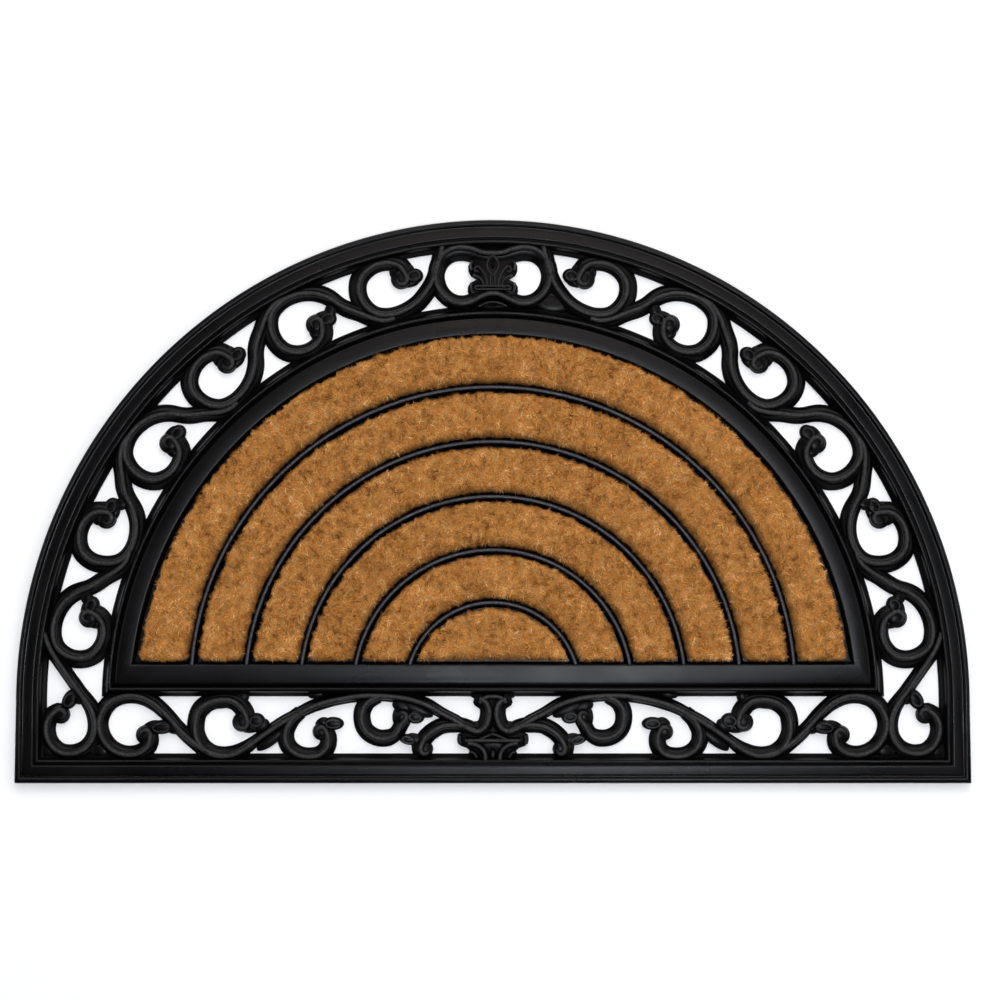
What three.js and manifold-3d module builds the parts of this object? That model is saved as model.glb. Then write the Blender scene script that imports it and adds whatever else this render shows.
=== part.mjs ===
// Half-round doormat. One rubber moulding carries the rim, an openwork border of
// running scrolls and a tray with five arched ribs. Six coir panels lie in the tray.
// Millimetres, +Z up, +Y towards the top of the arch, the underside on z = 0.

import * as THREE from 'three';
import { mergeVertices } from 'three/addons/utils/BufferGeometryUtils.js';
import Module from 'manifold-3d';

const wasm = await Module();
wasm.setup();

// Outline: half an ellipse above two short sides that flare a little to the base.
const ARCH_RX = 373.8;
const ARCH_RY = 380;
const ARCH_Y = -159.3;
const BASE_Y = -220.7;
const BASE_FLARE = 1.2;
const ARCH_STEPS = 36;

// Rim and panel frame, from outside to inside: side is the distance in from the
// arch and the sides, base the distance in from the straight edge.
const RIM_PROFILE = [
  { side: 0, base: 0, z: 0 },
  { side: 0, base: 0, z: 7.2 },
  { side: 3, base: 3, z: 8.6 },
  { side: 5.6, base: 5.6, z: 7 },
  { side: 14.2, base: 14.2, z: 7 },
  { side: 16.9, base: 16.9, z: 8.4 },
  { side: 19.6, base: 19.6, z: 3.2 },
  { side: 23.3, base: 22.8, z: 3 },
  { side: 23.3, base: 22.8, z: 0 },
];
const FRAME_PROFILE = [
  { side: 66.2, base: 67.6, z: 0 },
  { side: 66.2, base: 67.6, z: 3 },
  { side: 70.2, base: 70.6, z: 3.2 },
  { side: 72.9, base: 73.5, z: 8.6 },
  { side: 76, base: 76.6, z: 7 },
  { side: 90.3, base: 93.6, z: 7.2 },
  { side: 90.3, base: 93.6, z: 0 },
];

// Tray floor and ribs.
const FLOOR_TOP = 3;
const FLOOR_LAP = 0.8;
const RIB_Y = -146.7;
const RIB_RADII = [67.7, 108.9, 150.7, 193.7, 236.4];
const RIB_FOOT_BASE = 90;
const RIB_PROFILE = [
  { across: -4.4, z: 1 },
  { across: 4.4, z: 1 },
  { across: 4.4, z: 5 },
  { across: 1.9, z: 9.6 },
  { across: -1.9, z: 9.6 },
  { across: -4.4, z: 5 },
];

// Coir panels: gaps to the ribs and the frame, thickness and softened edge.
const COIR_RIB_GAP = 5.6;
const COIR_SIDE = 92.6;
const COIR_BASE = 96.4;
const COIR_BOTTOM = 3.3;
const COIR_TOP = 14;
const COIR_EDGE = 2;

// Scroll bar: a bead on a wider ledge.
const BAR_PROFILE = [
  { across: -6.9, z: 0 },
  { across: 6.9, z: 0 },
  { across: 6.6, z: 3 },
  { across: 1.8, z: 7.4 },
  { across: -1.8, z: 7.4 },
  { across: -6.6, z: 3 },
];
const BAR_TURN = THREE.MathUtils.degToRad(31);
const BAR_REACH = 30;

// The bar swells at its last point and closes a little further on.
const TIP_SWELL = 1.25;
const TIP_CLOSE = 0.6;
const TIP_REACH = 6.5;

// One curl of the running scroll. u runs along the arch away from the top centre
// and v towards the rim, both from the middle of the curl.
const STEM = [
  { u: -68, v: 22 },
  { u: -55, v: 12.5 },
];
const STEEP_STEM = [
  { u: -52, v: 26 },
  { u: -47, v: 12 },
];
const CURL = [
  { u: -41, v: -1.5 },
  { u: -32, v: -12.5 },
  { u: -19, v: -19.8 },
  { u: -3, v: -22.7 },
  { u: 13, v: -19.5 },
  { u: 24, v: -9 },
  { u: 26.5, v: 4 },
  { u: 21, v: 15.5 },
  { u: 9, v: 21.8 },
  { u: -4, v: 22.5 },
  { u: -13.5, v: 16.5 },
  { u: -13, v: 6 },
];
const CURL_LOBE = { u: -25.5, v: 4, radius: 6 };
const CURL_DEPTH = 43.8;

// Curls along each half of the arch. Inward ones are the mirror of outward ones.
const ARCH_CURLS = [
  { at: 94, size: 1, stem: STEEP_STEM, outward: true },
  { at: 179.5, size: 1, stem: STEM, outward: false },
  { at: 265.5, size: 1, stem: STEM, outward: true },
  { at: 352, size: 1, stem: STEM, outward: false },
  { at: 438, size: 0.98, stem: STEM, outward: true },
  { at: 525.5, size: 0.95, stem: STEM, outward: false },
];

// Freehand bars of the right half below the arch. x is measured from the middle
// and b up from the straight edge.
const CORNER_CURL = [
  { x: 352, b: 118 },
  { x: 347, b: 105 },
  { x: 336, b: 88 },
  { x: 323, b: 72 },
  { x: 313.5, b: 57 },
  { x: 311, b: 44 },
  { x: 315.5, b: 30 },
  { x: 328, b: 22.5 },
  { x: 341, b: 24.5 },
  { x: 349, b: 34 },
  { x: 350, b: 47 },
  { x: 343, b: 56 },
];
const ROW_CURL = [
  { x: 210, b: 20.5 },
  { x: 224, b: 24.5 },
  { x: 236, b: 35.5 },
  { x: 247, b: 47.5 },
  { x: 260, b: 59 },
  { x: 273, b: 66.5 },
  { x: 287, b: 68 },
  { x: 300, b: 62 },
  { x: 307.5, b: 50 },
  { x: 306, b: 35 },
  { x: 297, b: 24 },
  { x: 284, b: 21.5 },
  { x: 273, b: 27.5 },
  { x: 269, b: 37 },
];
const LONG_BAR = [
  { x: 3, b: 68 },
  { x: 3.5, b: 54 },
  { x: 8, b: 45 },
  { x: 15, b: 42.3 },
  { x: 24, b: 45 },
  { x: 38, b: 53.2 },
  { x: 56, b: 61.8 },
  { x: 76, b: 66.5 },
  { x: 100, b: 68.5 },
  { x: 124, b: 66 },
  { x: 146, b: 58.5 },
  { x: 164, b: 46 },
  { x: 180, b: 32.5 },
  { x: 194, b: 23.5 },
  { x: 210, b: 20.5 },
  { x: 225, b: 25 },
  { x: 235, b: 37 },
  { x: 235, b: 52 },
  { x: 226, b: 63.5 },
  { x: 211, b: 68 },
  { x: 198.5, b: 64 },
  { x: 193.5, b: 55 },
  { x: 196, b: 47.5 },
];
const SPUR_CURL = [
  { x: 136, b: 63.5 },
  { x: 150, b: 56 },
  { x: 159, b: 46 },
  { x: 160.5, b: 34 },
  { x: 155, b: 23.5 },
  { x: 144, b: 20.5 },
  { x: 134, b: 25.5 },
  { x: 132.5, b: 36.5 },
];
const DROP_CURL = [
  { x: 88, b: 67.5 },
  { x: 99, b: 63 },
  { x: 103.5, b: 53 },
  { x: 100, b: 41 },
  { x: 87, b: 35 },
  { x: 76, b: 40 },
  { x: 72, b: 51 },
];
const SIDE_BRANCH = [
  { x: 12, b: 42 },
  { x: 24, b: 44.5 },
  { x: 36, b: 44.7 },
  { x: 47, b: 39.5 },
  { x: 53.5, b: 32 },
  { x: 54, b: 25.5 },
];
const PEDESTAL_TOP = [
  { x: 0, b: 37 },
  { x: 12, b: 35.5 },
  { x: 23, b: 32.5 },
];
const PEDESTAL_LEG = [
  { x: 15, b: 30 },
  { x: 10, b: 26 },
  { x: 6, b: 18 },
];
const FREEHAND_BARS = [
  CORNER_CURL,
  ROW_CURL,
  LONG_BAR,
  SPUR_CURL,
  DROP_CURL,
  SIDE_BRANCH,
  PEDESTAL_TOP,
  PEDESTAL_LEG,
];

// Rounded knobs of the right half below the arch, turn in degrees.
const FREEHAND_KNOBS = [
  { x: 332.5, b: 66.5, long: 7.5, wide: 5.5, turn: 125, z: 5.6 },
  { x: 257.5, b: 43, long: 8, wide: 5.4, turn: 160, z: 5.6 },
  { x: 186, b: 47.5, long: 7, wide: 6, turn: 20, z: 5.6 },
  { x: 124, b: 45, long: 7.5, wide: 5, turn: 5, z: 5.6 },
  { x: 62, b: 54, long: 6, wide: 4, turn: 10, z: 5.6 },
  { x: 67.5, b: 33, long: 8.5, wide: 4.2, turn: 15, z: 5.6 },
  { x: 11, b: 66, long: 5, wide: 5, turn: 0, z: 6.8 },
  { x: 311, b: 25, long: 7, wide: 5, turn: 0, z: 3 },
  { x: 346, b: 25.5, long: 7, wide: 5, turn: 0, z: 3 },
  { x: 0, b: 45, long: 4, wide: 8, turn: 0, z: 4 },
  { x: 0, b: 28, long: 9, wide: 6, turn: 0, z: 4 },
];

// Double loop at the top centre, right half, t measured down from the arch's top.
const TOP_LOOP = [
  { x: 0, t: 26 },
  { x: 11, t: 25.6 },
  { x: 24, t: 24.5 },
  { x: 37, t: 29.5 },
  { x: 44.2, t: 43.5 },
  { x: 38.5, t: 57 },
  { x: 25, t: 63.5 },
  { x: 11, t: 62 },
  { x: 0, t: 59.5 },
];

// Leaf ornament inside the double loop: a foot bar and leaves fanned above it.
const LEAF_PLATE = { wide: 34, high: 32, t: 43 };
const LEAF_FOOT = { wide: 35, high: 4.6, t: 55.5 };
const LEAF_ROOT_T = 52;
const LEAVES = [
  { turn: -76, reach: 10.5, long: 7.5, wide: 3 },
  { turn: -40, reach: 11.5, long: 8.5, wide: 3.2 },
  { turn: 0, reach: 12, long: 9.5, wide: 3.6 },
  { turn: 40, reach: 11.5, long: 8.5, wide: 3.2 },
  { turn: 76, reach: 10.5, long: 7.5, wide: 3 },
];

// Knob sections from the axis out and up, as parts of the radius and height.
const KNOB_SECTION = [
  { r: 0, z: 0 },
  { r: 1, z: 0 },
  { r: 0.86, z: 0.66 },
  { r: 0, z: 1 },
];
const KNOB_SIDES = 8;

const RUBBER = new THREE.MeshStandardMaterial({
  color: 0x2b2b2e,
  roughness: 0.55,
  metalness: 0,
});
const COIR = new THREE.MeshStandardMaterial({
  color: 0xc08d4e,
  roughness: 0.95,
  metalness: 0,
});

// Points around the whole outline, moved in by side and by base, counterclockwise
// from the left foot of the straight edge.
function outline(side, base) {
  const rx = ARCH_RX - side;
  const ry = ARCH_RY - side;
  const foot = rx + BASE_FLARE * (1 - base / (ARCH_Y - BASE_Y));
  const points = [
    new THREE.Vector2(-foot, BASE_Y + base),
    new THREE.Vector2(foot, BASE_Y + base),
  ];
  const start = Math.max(0, Math.asin((BASE_Y + base - ARCH_Y) / ry) + 0.02);
  for (let i = 0; i <= ARCH_STEPS; i += 1) {
    const angle = start + ((Math.PI - 2 * start) * i) / ARCH_STEPS;
    points.push(new THREE.Vector2(rx * Math.cos(angle), ARCH_Y + ry * Math.sin(angle)));
  }
  return points;
}

// Closed mesh through equal rings of points. The last ring joins the first, or
// both ends are closed with flat caps cut from the section.
function loft(rings, section) {
  const count = rings[0].length;
  const joined = !section;
  const spans = joined ? rings.length : rings.length - 1;
  const index = [];
  for (let r = 0; r < spans; r += 1) {
    const here = r * count;
    const next = ((r + 1) % rings.length) * count;
    for (let i = 0; i < count; i += 1) {
      const j = (i + 1) % count;
      index.push(here + i, here + j, next + j);
      index.push(here + i, next + j, next + i);
    }
  }
  if (!joined) {
    const end = (rings.length - 1) * count;
    for (const [a, b, c] of THREE.ShapeUtils.triangulateShape(section, [])) {
      index.push(c, b, a);
      index.push(end + a, end + b, end + c);
    }
  }
  const geometry = new THREE.BufferGeometry();
  geometry.setFromPoints(rings.flat());
  geometry.setIndex(index);
  return geometry;
}

// Six times the volume inside a mesh, below zero if its faces point in.
function sixVolumes(geometry) {
  const points = geometry.getAttribute('position');
  const corners = [new THREE.Vector3(), new THREE.Vector3(), new THREE.Vector3()];
  let total = 0;
  for (let i = 0; i < geometry.index.count; i += 3) {
    corners.forEach((corner, k) => corner.fromBufferAttribute(points, geometry.index.getX(i + k)));
    total += corners[0].dot(corners[1].clone().cross(corners[2]));
  }
  return total;
}

// Solid for joining, made from a closed geometry.
function solid(geometry) {
  const bare = geometry.index ? geometry : geometry.clone();
  bare.deleteAttribute('normal');
  bare.deleteAttribute('uv');
  const merged = mergeVertices(bare, 1e-4);
  const triVerts = Uint32Array.from(merged.index.array);
  if (sixVolumes(merged) < 0) {
    triVerts.reverse();
  }
  const vertProperties = Float32Array.from(merged.getAttribute('position').array);
  return new wasm.Manifold(new wasm.Mesh({ numProp: 3, vertProperties, triVerts }));
}

// Geometry of a joined solid.
function geometryOf(body) {
  const mesh = body.getMesh();
  const geometry = new THREE.BufferGeometry();
  geometry.setAttribute('position', new THREE.BufferAttribute(mesh.vertProperties, 3));
  geometry.setIndex(new THREE.BufferAttribute(mesh.triVerts, 1));
  geometry.computeVertexNormals();
  return geometry;
}

// Ring that follows the whole outline with the given profile.
function outlineRing(profile) {
  const rings = profile.map(({ side, base, z }) => (
    outline(side, base).map((p) => new THREE.Vector3(p.x, p.y, z))
  ));
  return loft(rings);
}

// Profile points stood up across a path that runs the given way.
function ringAt(point, way, profile, scale) {
  return profile.map(({ across, z }) => new THREE.Vector3(
    point.x + way.y * across * scale,
    point.y - way.x * across * scale,
    z,
  ));
}

function sectionOf(profile) {
  return profile.map(({ across, z }) => new THREE.Vector2(across, z));
}

// Points kept from a smooth curve: one wherever it has turned or run far enough.
function tracePath(knots, closed) {
  const curve = new THREE.CatmullRomCurve3(
    knots.map((p) => new THREE.Vector3(p.x, p.y, 0)),
    closed,
  );
  const fine = curve.getSpacedPoints(400);
  if (closed) {
    fine.pop();
  }
  const kept = [fine[0]];
  let heading = fine[1].clone().sub(fine[0]);
  for (let i = 1; i < fine.length - 2; i += 1) {
    const step = fine[i + 1].clone().sub(fine[i]);
    const last = kept[kept.length - 1];
    if (step.angleTo(heading) > BAR_TURN || fine[i].distanceTo(last) > BAR_REACH) {
      kept.push(fine[i]);
      heading = step;
    }
  }
  if (!closed) {
    kept.push(fine[fine.length - 1]);
  }
  return kept;
}

// Bar with a constant profile along a path, mitred at each point.
function bar(path, profile, closed = false) {
  const n = path.length;
  const rings = path.map((point, i) => {
    const before = path[closed ? (i + n - 1) % n : Math.max(i - 1, 0)];
    const after = path[closed ? (i + 1) % n : Math.min(i + 1, n - 1)];
    const way = after.clone().sub(before).normalize();
    const into = point.clone().sub(before).normalize();
    const mitre = into.lengthSq() > 0 ? 1 / Math.max(0.8, into.dot(way)) : 1;
    return ringAt(point, way, profile, mitre);
  });
  if (closed) {
    return loft(rings);
  }
  return loft(rings, sectionOf(profile));
}

// Scroll bar along a path, with its last point swelled and closed off round.
function scrollBar(path) {
  const end = path.at(-1);
  const way = end.clone().sub(path.at(-2)).normalize();
  const tip = end.clone().addScaledVector(way, TIP_REACH);
  const rings = [...path, tip].map((point, i, points) => {
    const before = points[Math.max(i - 1, 0)];
    const after = points[Math.min(i + 1, points.length - 1)];
    const across = after.clone().sub(before).normalize();
    const scale = { [path.length - 1]: TIP_SWELL, [path.length]: TIP_CLOSE }[i] ?? 1;
    return ringAt(point, across, BAR_PROFILE, scale);
  });
  return loft(rings, sectionOf(BAR_PROFILE));
}

// Knob with a flat underside, longer one way if wanted.
function knob({ x, y, long, wide, turn, z }) {
  const section = KNOB_SECTION.map((p) => new THREE.Vector2(p.r, p.z));
  const geometry = new THREE.LatheGeometry(section, KNOB_SIDES);
  geometry.rotateX(Math.PI / 2);
  geometry.scale(long, wide, z);
  geometry.rotateZ(THREE.MathUtils.degToRad(turn));
  geometry.translate(x, y, 0);
  return geometry;
}

// Flat-bottomed block lying on z = 0.
function block({ wide, high, t }, z) {
  const geometry = new THREE.BoxGeometry(wide, high, z);
  geometry.translate(0, ARCH_Y + ARCH_RY - t, z / 2);
  return geometry;
}

// Place at a distance along one half of the arch and a depth in from its edge.
function alongArch(distance, depth, half) {
  const angle = (2 * distance) / (ARCH_RX + ARCH_RY);
  return {
    x: half * (ARCH_RX - depth) * Math.sin(angle),
    y: ARCH_Y + (ARCH_RY - depth) * Math.cos(angle),
  };
}

// Bar and lobe of each curl along one half of the arch.
function archCurls(half) {
  return ARCH_CURLS.flatMap(({ at, size, stem, outward }) => {
    const rise = outward ? size : -size;
    const place = ({ u, v }) => alongArch(at + size * u, CURL_DEPTH - rise * v, half);
    const { radius } = CURL_LOBE;
    return [
      scrollBar(tracePath([...stem, ...CURL].map(place), false)),
      knob({ ...place(CURL_LOBE), long: radius, wide: radius, turn: 0, z: 5.8 }),
    ];
  });
}

// Freehand bars and knobs of one half, below the arch.
function lowerScrolls(half) {
  const bars = FREEHAND_BARS.map((rows) => {
    const knots = rows.map(({ x, b }) => ({ x: half * x, y: BASE_Y + b }));
    return scrollBar(tracePath(knots, false));
  });
  const knobs = FREEHAND_KNOBS.map((row) => knob({
    ...row,
    x: half * row.x,
    y: BASE_Y + row.b,
    turn: half * row.turn,
  }));
  return [...bars, ...knobs];
}

// Double loop with the leaf ornament at the top centre.
function topOrnament() {
  const top = ARCH_Y + ARCH_RY;
  const right = TOP_LOOP.map(({ x, t }) => ({ x, y: top - t }));
  const left = right.slice(1, -1).reverse().map(({ x, y }) => ({ x: -x, y }));
  const loop = bar(tracePath([...right, ...left], true), BAR_PROFILE, true);
  const leaves = LEAVES.map(({ turn, reach, long, wide }) => {
    const angle = THREE.MathUtils.degToRad(turn);
    return knob({
      x: reach * Math.sin(angle),
      y: top - LEAF_ROOT_T + reach * Math.cos(angle),
      long: wide,
      wide: long,
      turn: -turn,
      z: 6.6,
    });
  });
  return [loop, block(LEAF_PLATE, 3), block(LEAF_FOOT, 6.6), ...leaves];
}

// Arc of a rib, from foot to foot on the frame's straight bar.
function ribPath(radius) {
  const foot = Math.asin((BASE_Y + RIB_FOOT_BASE - RIB_Y) / radius);
  const steps = Math.round(10 + radius / 24);
  return Array.from({ length: steps + 1 }, (_, i) => {
    const angle = foot + ((Math.PI - 2 * foot) * i) / steps;
    return new THREE.Vector3(radius * Math.cos(angle), RIB_Y + radius * Math.sin(angle), 0);
  });
}

function trayFloor() {
  const edge = outline(FRAME_PROFILE.at(-1).side - FLOOR_LAP, FRAME_PROFILE.at(-1).base - FLOOR_LAP);
  return new THREE.ExtrudeGeometry(new THREE.Shape(edge), {
    depth: FLOOR_TOP,
    bevelEnabled: false,
  });
}

function rubberMoulding() {
  const pieces = [
    outlineRing(RIM_PROFILE),
    outlineRing(FRAME_PROFILE),
    trayFloor(),
    ...RIB_RADII.map((radius) => bar(ribPath(radius), RIB_PROFILE)),
    ...topOrnament(),
    ...archCurls(1),
    ...archCurls(-1),
    ...lowerScrolls(1),
    ...lowerScrolls(-1),
  ];
  return geometryOf(pieces.map(solid).reduce((sum, piece) => sum.add(piece)));
}

// Arc points about the rib centre, cut off level with the panels' straight edge.
function coirArc(radius) {
  const foot = Math.asin((BASE_Y + COIR_BASE - RIB_Y) / radius);
  const steps = Math.round(12 + radius / 14);
  return Array.from({ length: steps + 1 }, (_, i) => {
    const angle = foot + ((Math.PI - 2 * foot) * i) / steps;
    return new THREE.Vector2(radius * Math.cos(angle), RIB_Y + radius * Math.sin(angle));
  });
}

// Coir panel inside a closed outline, with its edges softened.
function coirPanel(points) {
  const geometry = new THREE.ExtrudeGeometry(new THREE.Shape(points), {
    depth: COIR_TOP - COIR_BOTTOM - 2 * COIR_EDGE,
    bevelThickness: COIR_EDGE,
    bevelSize: COIR_EDGE,
    bevelOffset: -COIR_EDGE,
    bevelSegments: 1,
  });
  geometry.translate(0, 0, COIR_BOTTOM + COIR_EDGE);
  return geometry;
}

// Outlines of the six panels, from the half-round middle to the outer band.
function coirOutlines() {
  const outer = outline(COIR_SIDE, COIR_BASE).slice(2);
  const edges = [
    ...RIB_RADII.map((radius) => coirArc(radius - COIR_RIB_GAP)),
    [new THREE.Vector2(outer[0].x, BASE_Y + COIR_BASE), ...outer,
      new THREE.Vector2(outer.at(-1).x, BASE_Y + COIR_BASE)],
  ];
  return edges.map((edge, i) => {
    if (i === 0) {
      return edge;
    }
    return [...edge, ...coirArc(RIB_RADII[i - 1] + COIR_RIB_GAP).reverse()];
  });
}

function mesh(name, geometry, material) {
  const piece = new THREE.Mesh(geometry, material);
  piece.name = name;
  return piece;
}

const doormat = new THREE.Group();
doormat.name = 'doormat';
doormat.add(mesh('rubber_moulding', rubberMoulding(), RUBBER));
coirOutlines().forEach((points, i) => {
  const name = i === 0 ? 'coir_centre' : `coir_band_${i}`;
  doormat.add(mesh(name, coirPanel(points), COIR));
});

export default doormat;
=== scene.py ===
"""Half-round doormat: a moulded rubber mat with an openwork scroll border, and
six panels of coir pile in its ribbed tray. +Z is up and +Y goes to the arch's top.
Shapes are in millimetres, materials, camera and lights in metres."""

import math

import bpy
import numpy as np
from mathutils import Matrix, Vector


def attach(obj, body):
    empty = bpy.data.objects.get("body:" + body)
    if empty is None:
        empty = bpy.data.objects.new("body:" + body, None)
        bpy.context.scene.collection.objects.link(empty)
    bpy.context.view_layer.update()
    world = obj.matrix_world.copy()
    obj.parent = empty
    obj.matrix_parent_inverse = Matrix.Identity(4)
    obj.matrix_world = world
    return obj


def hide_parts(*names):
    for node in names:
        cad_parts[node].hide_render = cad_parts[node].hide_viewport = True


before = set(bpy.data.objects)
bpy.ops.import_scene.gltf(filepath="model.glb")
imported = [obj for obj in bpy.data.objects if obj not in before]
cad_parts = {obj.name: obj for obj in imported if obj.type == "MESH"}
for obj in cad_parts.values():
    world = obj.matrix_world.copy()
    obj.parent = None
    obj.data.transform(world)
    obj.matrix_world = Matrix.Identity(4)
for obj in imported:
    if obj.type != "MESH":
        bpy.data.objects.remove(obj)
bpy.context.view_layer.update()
MM = 0.001
rng = np.random.default_rng(41)

# Coir: gap to a rib's middle, place in from the arch's side and its top, and above the
# straight edge.
COIR_GAP, COIR_SIDE, COIR_CROWN, COIR_BASE = 2.7, 93.4, 89.6, 95.8
# Heights: the mat's underside, its pile at an edge and its pile further in.
COIR_BASE_Z, PILE_FOOT, PILE_TOP = 3.3, 5.6, 12.4
# How far in from an edge the pile is rounded: at its ends, towards the middle, outwards.
PILE_EDGE, PILE_EDGE_IN, PILE_EDGE_OUT = 4.5, 7.5, 2.8
CORNER_RADIUS = 5.0
# Ragged edge on a panel's inner and outer side: how far it wanders in, the length of its
# waves, and its row of the random surface, in panel widths.
RAGGED_IN, RAGGED_OUT = (0.6, 2.8, 7), (1.4, 2.4, 9)
# Steps of a mat's mesh: length along, length across, and the fewest across.
MAT_ALONG, MAT_ACROSS, MAT_FEWEST = 2.4, 2.0, 12
# What the centre panel's corners lose: along its foot, and up its arc.
CENTRE_CUT, CENTRE_RISE = 3, 6

FIBRES_PER_MM2 = 1.75
FIBRE_TOP = 14.6
# Share of coarse fibres, which lie on top of the pile.
COARSE_SHARE = 0.12
# Lean in degrees: least, usual and most of a fine fibre, least and most of a coarse one.
FINE_LEAN, COARSE_LEAN = (30, 72, 88), (68, 86)
# Least and most length, radius and depth of the root, which is one for coarse fibres.
FINE_LONG, COARSE_LONG = (2.2, 4.8), (3.0, 5.6)
FINE_THICK, COARSE_THICK = (0.18, 0.3), (0.3, 0.42)
FINE_DEPTH, COARSE_DEPTH = (0.2, 1.2), 0.1
# Fibres nearer to an edge than this lean less and are shorter, down to this share.
EDGE_WIDTH, EDGE_SHARE = 3.5, 0.6
# Random surfaces: swing, width of a patch, and where the surface starts across and up.
# The pile's lumps, the way that fibres lie in radians, and the shade of fibres.
LUMP_PATCHES = ((0.5, 9.0, 0, 0), (0.35, 4.0, 0, 0))
LIE_PATCHES = ((3.4, 5.0, 900, 0), (1.8, 21.0, 0, 700))
SHADE_PATCHES = ((0.34, 2.6, 0, 0), (0.24, 5.0, 300, 0), (0.12, 16.0, 0, 300))
# How far single fibres differ from their patch, and the middle shade.
LIE_SPREAD, FINE_SPREAD, COARSE_SPREAD, SHADE_MIDDLE = 0.9, 0.12, 0.15, 0.52
# Fibre colours, linear, from the darkest to the palest.
COIR_COLOURS = (
    (0.0, (0.08, 0.027, 0.004)), (0.25, (0.235, 0.091, 0.015)), (0.5, (0.41, 0.191, 0.042)),
    (0.75, (0.58, 0.315, 0.094)), (1.0, (0.80, 0.52, 0.22)),
)
# Values under the random surfaces, and where the mat's middle lies on them, in cells.
LATTICE_SIZE, LATTICE_X, LATTICE_Y = 256, 500.37, 500.71
LATTICE = rng.uniform(-1, 1, (LATTICE_SIZE, LATTICE_SIZE))

# Outline, millimetres: half an ellipse above two short, slightly flared sides.
ARCH_RX, ARCH_RY, ARCH_Y = 373.8, 380.0, -159.3
BASE_Y, BASE_FLARE = -220.7, 1.2
TOP_Y = ARCH_Y + ARCH_RY
COIR_FOOT = BASE_Y + COIR_BASE
ARCH_STEPS = 180
# Angle by which the arch's first point stays clear of its foot.
ARCH_START = 0.02

# Rim and panel frame: distance in from the arch, from the straight edge, height.
RIM_PROFILE = (
    (0.0, 0.0, 0.0), (0.0, 0.0, 6.4), (0.3, 0.3, 7.4), (1.0, 1.0, 8.1),
    (2.0, 2.0, 8.5), (3.0, 3.0, 8.6), (4.0, 4.0, 8.2), (4.7, 4.7, 7.4),
    (5.2, 5.2, 6.3), (5.7, 5.7, 6.2), (6.1, 6.1, 6.75), (6.8, 6.8, 6.95),
    (7.6, 7.6, 7.0), (12.6, 12.6, 7.18), (13.3, 13.3, 7.1), (13.8, 13.8, 6.8),
    (14.2, 14.2, 6.0), (14.8, 14.8, 6.1), (15.2, 15.2, 7.3), (15.9, 15.9, 8.1), (16.8, 16.8, 8.4),
    (17.7, 17.7, 8.1), (18.4, 18.4, 7.2), (18.9, 18.9, 5.6), (19.3, 19.3, 4.6),
    (21.0, 20.8, 3.3), (22.6, 22.2, 2.0), (23.2, 22.7, 1.4), (23.3, 22.8, 0.8),
    (23.3, 22.8, 0.0),
)
FRAME_PROFILE = (
    (66.2, 67.6, 0.0), (66.2, 67.6, 0.8), (66.4, 67.8, 1.4), (67.0, 68.2, 1.9),
    (68.6, 69.4, 3.1), (70.2, 70.8, 4.3), (70.8, 71.4, 5.8), (71.3, 71.9, 7.4),
    (72.0, 72.6, 8.4), (72.9, 73.5, 8.6), (73.8, 74.4, 8.3), (74.5, 75.1, 7.2),
    (75.0, 75.6, 5.4), (75.6, 76.2, 4.8), (76.3, 76.9, 5.4), (76.9, 77.5, 6.7),
    (77.6, 78.3, 7.1), (78.5, 79.3, 7.2), (83.5, 85.5, 7.25), (88.3, 91.4, 7.2),
    (89.2, 92.4, 7.1), (90.0, 93.2, 6.6), (90.3, 93.6, 5.4), (92.6, 95.9, 2.3), (92.6, 95.9, 0.0),
)

# Tray floor: place of its edge in from the arch and from the straight edge, and its top.
TRAY_SIDE, TRAY_BASE, FLOOR_TOP = 89.5, 92.8, 3.0
# Ribs: middle of their arcs, radii, place of their feet above the straight edge, and
# their section across.
RIB_Y = -146.7
RIB_RADII = (67.7, 108.9, 150.7, 193.7, 236.4)
RIB_FOOT = 93.4
RIB_PROFILE = (
    (-4.2, 1.0), (4.2, 1.0), (4.2, 2.6), (2.4, 5.4), (2.2, 6.8), (1.85, 8.2), (1.3, 9.1),
    (0.45, 9.55), (-0.45, 9.55), (-1.3, 9.1), (-1.85, 8.2), (-2.2, 6.8), (-2.4, 5.4), (-4.2, 2.6),
)

# Scroll bar across its line: a round bead on a ledge, whose width is given apart.
BEAD_PROFILE = (
    (-3.2, 2.0), (3.2, 2.0), (3.0, 3.8), (2.5, 5.3), (1.8, 6.5), (1.0, 7.2), (0.35, 7.5),
    (-0.35, 7.5), (-1.0, 7.2), (-1.8, 6.5), (-2.5, 5.3), (-3.0, 3.8),
)
LEDGE_PROFILE = (
    (-1.0, 0.0), (1.0, 0.0), (1.0, 1.0), (0.97, 1.5), (0.9, 1.9), (0.72, 3.0), (0.5, 4.3),
    (0.0, 4.8), (-0.5, 4.3), (-0.72, 3.0), (-0.9, 1.9), (-0.97, 1.5), (-1.0, 1.0),
)
# Half widths of a ledge: where its bar is straight, inside a bend and outside it.
ARCH_LEDGE, FREEHAND_LEDGE, LONG_LEDGE = (6.5, 6.0, 8.4), (5.2, 6.8, 6.8), (4.4, 7.4, 7.2)
# A bend of this radius or less is sharp, and this many steps on either side soften it.
SHARP_RADIUS, BEND_REACH = 24, 4
# Thin raised line of an ornament on a plate.
LINE_PROFILE = (
    (-1.0, 2.0), (1.0, 2.0), (0.95, 5.2), (0.45, 7.0), (-0.45, 7.0), (-0.95, 5.2),
)
# Length of a step along a ledge, a bead, a short stroke and a thin line.
BAR_STEP, BEAD_STEP, STROKE_STEP, LINE_STEP = 2.4, 1.92, 1.6, 1.2
# Points worked out between two knots of a curve, before it is cut into even steps.
CURVE_STEPS = 24
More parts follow.
